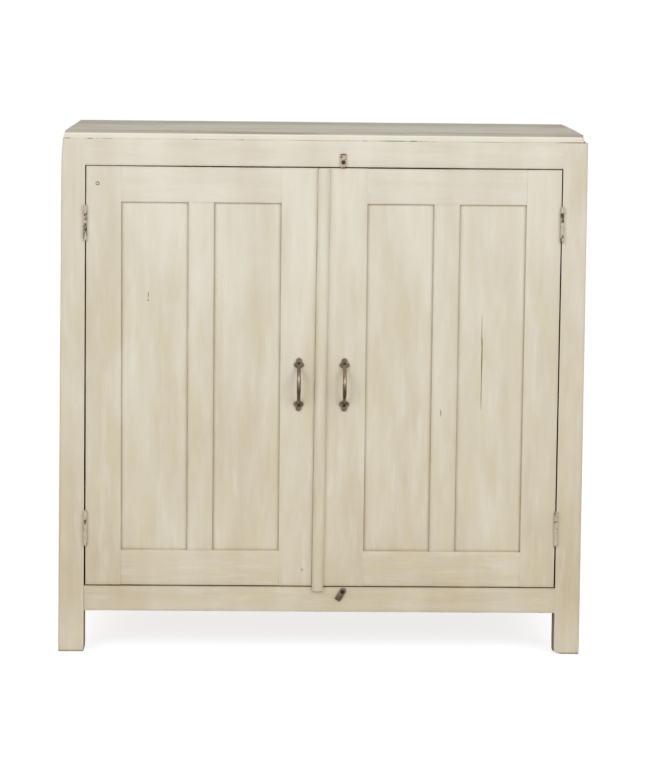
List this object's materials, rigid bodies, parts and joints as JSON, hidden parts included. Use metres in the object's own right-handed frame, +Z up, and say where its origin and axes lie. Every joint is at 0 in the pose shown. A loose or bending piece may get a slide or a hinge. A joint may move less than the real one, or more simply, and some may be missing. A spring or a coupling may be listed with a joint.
{
  "type": "cabinet",
  "caption": "Low painted cabinet on square legs with hinged frame-and-panel doors, bow handles, turn-button latches and a shelf inside.",
  "frame": {"origin": "on the floor, in the middle of the space that the cabinet takes up, handles included", "axes": "+X to the right of someone facing the doors, the doors face -Y, +Z up"},
  "size_m": [1.063, 0.4805, 1.071],
  "materials": {
    "cream_paint": "limewashed cream paint, worn and glazed, matt",
    "bare_wood": "bare aged softwood",
    "dark_bronze": "dark bronzed casting, worn",
    "painted_hinge": "cream paint chipped to dark iron",
    "aged_steel": "aged, stained",
    "iron_fastener": "dark, rusted"
  },
  "bodies": {
    "case": {"back_board_1": "bare_wood", "back_board_2": "bare_wood", "back_board_3": "bare_wood", "back_board_4": "bare_wood", "back_bottom_rail": "bare_wood", "back_left_post": "cream_paint", "back_right_post": "cream_paint", "back_top_rail": "bare_wood", "button_screws": "iron_fastener", "case_nails": "iron_fastener", "door_stop": "bare_wood", "floor_back_board": "bare_wood", "floor_front_board": "bare_wood", "frame_hinge_leaves": "painted_hinge", "frame_hinge_screws": "iron_fastener", "front_bottom_rail": "cream_paint", "front_left_post": "cream_paint", "front_right_post": "cream_paint", "front_top_rail": "cream_paint", "hinge_pins": "painted_hinge", "left_shelf_cleat": "bare_wood", "left_side_bottom_rail": "cream_paint", "left_side_panel": "cream_paint", "left_side_top_rail": "cream_paint", "right_shelf_cleat": "bare_wood", "right_side_bottom_rail": "cream_paint", "right_side_panel": "cream_paint", "right_side_top_rail": "cream_paint", "shelf": "bare_wood", "top_back_board": "cream_paint", "top_front_board": "cream_paint"},
    "left_door": {"left_door_bottom_rail": "cream_paint", "left_door_hinge_leaves": "painted_hinge", "left_door_hinge_screws": "iron_fastener", "left_door_hinge_stile": "cream_paint", "left_door_inner_panel": "cream_paint", "left_door_meeting_stile": "cream_paint", "left_door_muntin": "cream_paint", "left_door_outer_panel": "cream_paint", "left_door_pegs": "bare_wood", "left_door_top_rail": "cream_paint", "left_handle": "dark_bronze", "left_handle_screws": "iron_fastener"},
    "right_door": {"cover_strip": "cream_paint", "cover_strip_nails": "iron_fastener", "right_door_bottom_rail": "cream_paint", "right_door_hinge_leaves": "painted_hinge", "right_door_hinge_screws": "iron_fastener", "right_door_hinge_stile": "cream_paint", "right_door_inner_panel": "cream_paint", "right_door_meeting_stile": "cream_paint", "right_door_muntin": "cream_paint", "right_door_outer_panel": "cream_paint", "right_door_pegs": "bare_wood", "right_door_top_rail": "cream_paint", "right_handle": "dark_bronze", "right_handle_screws": "iron_fastener"},
    "top_button": {"top_turn_button": "aged_steel"},
    "bottom_button": {"bottom_turn_button": "aged_steel"}
  },
  "joints": [
    {"name": "left_door_hinge", "type": "hinge", "parent": "case", "child": "left_door", "pos_m": [-0.482, -0.21325, 0.57], "axis": [0, 0, -1], "range_deg": [0, 170]},
    {"name": "right_door_hinge", "type": "hinge", "parent": "case", "child": "right_door", "pos_m": [0.482, -0.21325, 0.57], "axis": [0, 0, 1], "range_deg": [0, 170]},
    {"name": "top_button_turn", "type": "hinge", "parent": "case", "child": "top_button", "pos_m": [0.0375, -0.2118, 1.012], "axis": [0, 1, 0], "continuous": true},
    {"name": "bottom_button_turn", "type": "hinge", "parent": "case", "child": "bottom_button", "pos_m": [0.0455, -0.2118, 0.1295], "axis": [0, 1, 0], "continuous": true}
  ]
}
